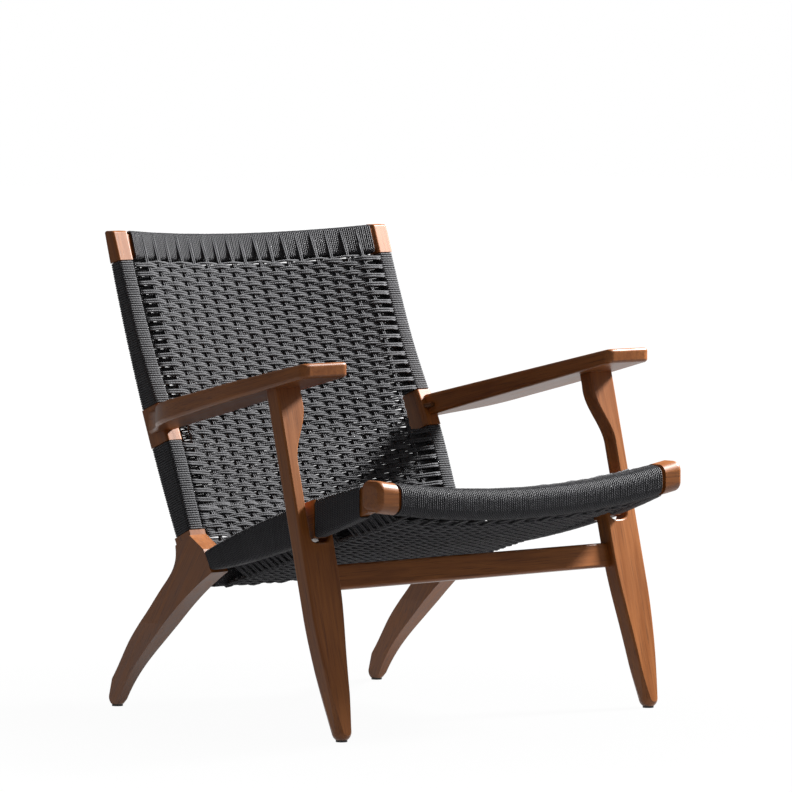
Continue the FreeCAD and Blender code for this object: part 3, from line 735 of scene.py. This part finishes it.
def dress(node, material):
    """Give a node of the frame its material."""
    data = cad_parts[node].data
    data.materials.clear()
    data.materials.append(material)


# ---- operators ------------------------------------------------------------------------------
class ARMCHAIR_OT_mix_cord(bpy.types.Operator):
    """Make the cord's material"""
    bl_idname = "armchair.mix_cord"
    bl_label = "Mix the paper cord"

    def execute(self, context):
        paper_cord(context.scene.armchair_cord)
        return {"FINISHED"}


class ARMCHAIR_OT_wind_posts(bpy.types.Operator):
    """Wind cord round the posts above and below the armrests"""
    bl_idname = "armchair.wind_posts"
    bl_label = "Wind the posts"

    def execute(self, context):
        cord = context.scene.armchair_cord
        for (part, side), places in POSTS.items():
            node = "post_wrap_" + part + "_" + side
            wind(node, places, POST_CORNER, walk(places, cord.turn_pitch), cord)
        return {"FINISHED"}


class ARMCHAIR_OT_wind_side_rails(bpy.types.Operator):
    """Wind cord round the side rails before and behind the front legs"""
    bl_idname = "armchair.wind_side_rails"
    bl_label = "Wind the side rails"

    def execute(self, context):
        cord = context.scene.armchair_cord
        for (part, side), places in SIDE_RAILS.items():
            node = "side_rail_" + part + "_wrap_" + side
            wind(node, places, RAIL_CORNER, walk(places, cord.turn_pitch), cord)
        return {"FINISHED"}


class ARMCHAIR_OT_wind_cross_rails(bpy.types.Operator):
    """Wind cord round the four rails that run across the chair"""
    bl_idname = "armchair.wind_cross_rails"
    bl_label = "Wind the cross rails"

    def execute(self, context):
        cord = context.scene.armchair_cord
        for node, places in CROSS_RAILS.items():
            wind(node, places, CORNERS[node], cross_rail_shares(places, cord), cord)
        return {"FINISHED"}


class ARMCHAIR_OT_weave_back(bpy.types.Operator):
    """Weave the front and rear layers of the back"""
    bl_idname = "armchair.weave_back"
    bl_label = "Weave the back"

    def execute(self, context):
        cord = context.scene.armchair_cord
        members = [(POSTS[part, "left"], POSTS[part, "right"]) for part in ("lower", "upper")]
        for node, out, outer_sign in (("back_weave_front", (0, -1, 0), -1),
                                      ("back_weave_rear", (0, 1, 0), 1)):
            panel = Panel("bottom_rail_wrap", "top_rail_wrap", out, cord, outer_sign > 0)
            weave(node, panel, members, POST_CORNER, outer_sign)
        weave_apron("back_weave_front", cord)
        return {"FINISHED"}


class ARMCHAIR_OT_weave_seat(bpy.types.Operator):
    """Weave the top and the underside of the seat"""
    bl_idname = "armchair.weave_seat"
    bl_label = "Weave the seat"

    def execute(self, context):
        cord = context.scene.armchair_cord
        members = [(SIDE_RAILS[part, "left"], SIDE_RAILS[part, "right"])
                   for part in ("front", "rear")]
        for node, out, outer_sign in (("seat_weave_top", (0, 0, 1), 1),
                                      ("seat_weave_underside", (0, 0, -1), -1)):
            panel = Panel("front_rail_wrap", "rear_rail_wrap", out, cord, outer_sign < 0)
            weave(node, panel, members, RAIL_CORNER, outer_sign, to_the_end=True)
        return {"FINISHED"}


GRAINS = {
    "back_post": (0, 0.36, 0.93),
    "rear_leg": (0, 0.55, -0.83),
    "front_leg": (0, 0.24, 0.97),
    "armrest": (0, -0.97, 0.21),
    "side_rail": (0, 0.95, -0.3),
}
CROSS_PIECES = ("front_seat_rail", "rear_seat_rail", "front_stretcher", "top_back_rail",
                "bottom_back_rail")
PEGS = ("arm_to_leg_pegs", "arm_to_post_pegs", "side_rail_rear_pegs", "side_rail_front_pegs",
        "post_to_leg_pegs", "leg_notch_pegs")


class ARMCHAIR_OT_finish_wood(bpy.types.Operator):
    """Stain and lacquer the wood"""
    bl_idname = "armchair.finish_wood"
    bl_label = "Finish the wood"

    def execute(self, context):
        wood = context.scene.armchair_wood
        for part, grain in GRAINS.items():
            material = stained_walnut("walnut_" + part, grain, wood)
            for side in SIDES:
                dress(part + "_" + side, material)
        across = stained_walnut("walnut_across", (1, 0, 0), wood)
        for node in CROSS_PIECES:
            dress(node, across)
        return {"FINISHED"}


class ARMCHAIR_OT_finish_small_parts(bpy.types.Operator):
    """Finish the pegs, the glides and their nails"""
    bl_idname = "armchair.finish_small_parts"
    bl_label = "Finish the small parts"

    def execute(self, context):
        peg = plain_material("stained_peg", (0.20, 0.075, 0.022), 0.0, 0.5)
        for node in PEGS:
            dress(node, peg)
        plastic = plain_material("dark_glide_plastic", (0.03, 0.028, 0.026), 0.0, 0.5)
        for node in ("front_glides", "rear_glides"):
            dress(node, plastic)
        dress("glide_nails", plain_material("bright_nail_steel", (0.55, 0.55, 0.55), 1.0, 0.35))
        return {"FINISHED"}


class ARMCHAIR_OT_set_stage(bpy.types.Operator):
    """Lay the floor, hang the lamps and place the camera"""
    bl_idname = "armchair.set_stage"
    bl_label = "Set the stage"

    def execute(self, context):
        studio = context.scene.armchair_studio
        lay_floor()
        hang_lamp("key", (3.05, -0.62, 2.56), 0.8, studio.key_power)
        hang_lamp("gloss_card", (2.35, -1.80, 2.20), 1.1, 5.5)
        light_world()
        bpy.context.scene.view_settings.view_transform = "Standard"
        place_camera(studio)
        return {"FINISHED"}


FLOOR_HALF = 30.0
WORLD_AS_LAMP = 0.20    # strength of the white all round as a light
AIM = Vector((0, 0, 0.35))
AIM_BEHIND = 0.018      # the camera aims this far behind the chair's middle
SHIFT = (0.0329, 0.0966)


def lay_floor():
    """A pale floor that keeps soft shadows and is lost in the white around it."""
    mesh = bmesh.new()
    bmesh.ops.create_grid(mesh, x_segments=1, y_segments=1, size=FLOOR_HALF)
    data = bpy.data.meshes.new("studio_floor")
    mesh.to_mesh(data)
    mesh.free()
    floor = bpy.data.objects.new("studio_floor", data)
    bpy.context.scene.collection.objects.link(floor)
    plan = Plan("pale_floor")
    where = plan.node("ShaderNodeTexCoord", output=3)
    mottle = plan.node("ShaderNodeTexNoise", inputs={"Vector": where, "Scale": 3.0})
    colour = plan.node("ShaderNodeValToRGB", {"stops": [
        (0.0, (0.13, 0.13, 0.13)), (1.0, (0.16, 0.16, 0.16))]}, {0: mottle})
    plan.finish(Base_Color=colour, Roughness=0.9, Specular_IOR_Level=0.1)
    glow = plan.node("ShaderNodeEmission", inputs={0: (1, 1, 1, 1), 1: 1.04})
    seen = plan.node("ShaderNodeLightPath")
    glossy = plan.node("ShaderNodeLightPath", output=3)
    away = plan.node("ShaderNodeVectorMath", {"operation": "LENGTH"}, {0: where}, output=1)
    share = plan.spread(away, 0.4, 2.0, 0.93, 1.0)
    near = plan.spread(away, 2.5, 5.0, 0.9, 0.2)
    matt = Field(plan, plan.shader.outputs[0])
    mixed = plan.node("ShaderNodeMixShader",
                      inputs={0: seen * share + glossy * near, 1: matt, 2: glow})
    plan.tree.links.new(mixed.socket, plan.tree.nodes["Material Output"].inputs[0])
    data.materials.append(plan.material)


def hang_lamp(name, spot, size, power):
    """A round soft lamp aimed at the middle of the chair."""
    lamp = bpy.data.lights.new(name, "AREA")
    lamp.shape = "DISK"
    lamp.size = size
    lamp.energy = power
    hung = bpy.data.objects.new(name, lamp)
    hung.location = spot
    aim = AIM - Vector(spot)
    hung.rotation_euler = aim.to_track_quat("-Z", "Y").to_euler()
    bpy.context.scene.collection.objects.link(hung)


def light_world():
    """White all round, dimmer as a lamp than as the background that the camera sees."""
    world = bpy.data.worlds.new("studio_white")
    world.use_nodes = True
    bpy.context.scene.world = world
    tree = world.node_tree
    seen = tree.nodes.new("ShaderNodeLightPath")
    power = tree.nodes.new("ShaderNodeMapRange")
    tree.links.new(seen.outputs["Is Camera Ray"], power.inputs[0])
    power.inputs[3].default_value = WORLD_AS_LAMP
    power.inputs[4].default_value = 1.0
    background = tree.nodes["Background"]
    background.inputs[0].default_value = (1, 1, 1, 1)
    tree.links.new(power.outputs[0], background.inputs[1])


def place_camera(studio):
    """Look at the chair from low at its right front, with a long lens."""
    azimuth, elevation = math.radians(studio.azimuth), math.radians(studio.elevation)
    level = math.cos(elevation)
    back = Vector((math.sin(azimuth) * level, -math.cos(azimuth) * level, math.sin(elevation)))
    low, high = (Vector(corner) for corner in CAD_BOX)
    target = Vector(((low.x + high.x) / 2, (low.y + high.y) / 2 + AIM_BEHIND, studio.aim_height))
    data = bpy.data.cameras.new("camera")
    data.lens = studio.lens
    data.sensor_width = 36.0
    data.shift_x, data.shift_y = SHIFT
    camera = bpy.data.objects.new("camera", data)
    camera.location = target + back * studio.distance
    camera.rotation_euler = (-back).to_track_quat("-Z", "Y").to_euler()
    bpy.context.scene.collection.objects.link(camera)
    bpy.context.scene.camera = camera


class ARMCHAIR_PT_panel(bpy.types.Panel):
    """Lists the chair's operators"""
    bl_idname = "ARMCHAIR_PT_panel"
    bl_label = "Woven Armchair"
    bl_space_type = "VIEW_3D"
    bl_region_type = "UI"
    bl_category = "Armchair"

    def draw(self, context):
        for operator in OPERATORS:
            self.layout.operator(operator.bl_idname)


SETTINGS = {"armchair_cord": CordSettings, "armchair_wood": WoodSettings,
            "armchair_studio": StudioSettings}
OPERATORS = (ARMCHAIR_OT_mix_cord, ARMCHAIR_OT_wind_posts, ARMCHAIR_OT_wind_side_rails,
             ARMCHAIR_OT_wind_cross_rails, ARMCHAIR_OT_weave_back, ARMCHAIR_OT_weave_seat,
             ARMCHAIR_OT_finish_wood, ARMCHAIR_OT_finish_small_parts, ARMCHAIR_OT_set_stage)


def register():
    """Register the classes and hang the settings on the scene."""
    for kind in (*SETTINGS.values(), *OPERATORS, ARMCHAIR_PT_panel):
        bpy.utils.register_class(kind)
    for name, kind in SETTINGS.items():
        setattr(bpy.types.Scene, name, PointerProperty(type=kind))


def unregister():
    """Take the settings and the classes away again."""
    for name in SETTINGS:
        delattr(bpy.types.Scene, name)
    for kind in (ARMCHAIR_PT_panel, *reversed(OPERATORS), *SETTINGS.values()):
        bpy.utils.unregister_class(kind)


def main():
    """Build the chair in order."""
    register()
    for operator in OPERATORS:
        group, name = operator.bl_idname.split(".")
        getattr(getattr(bpy.ops, group), name)()


if __name__ == "__main__":
    main()
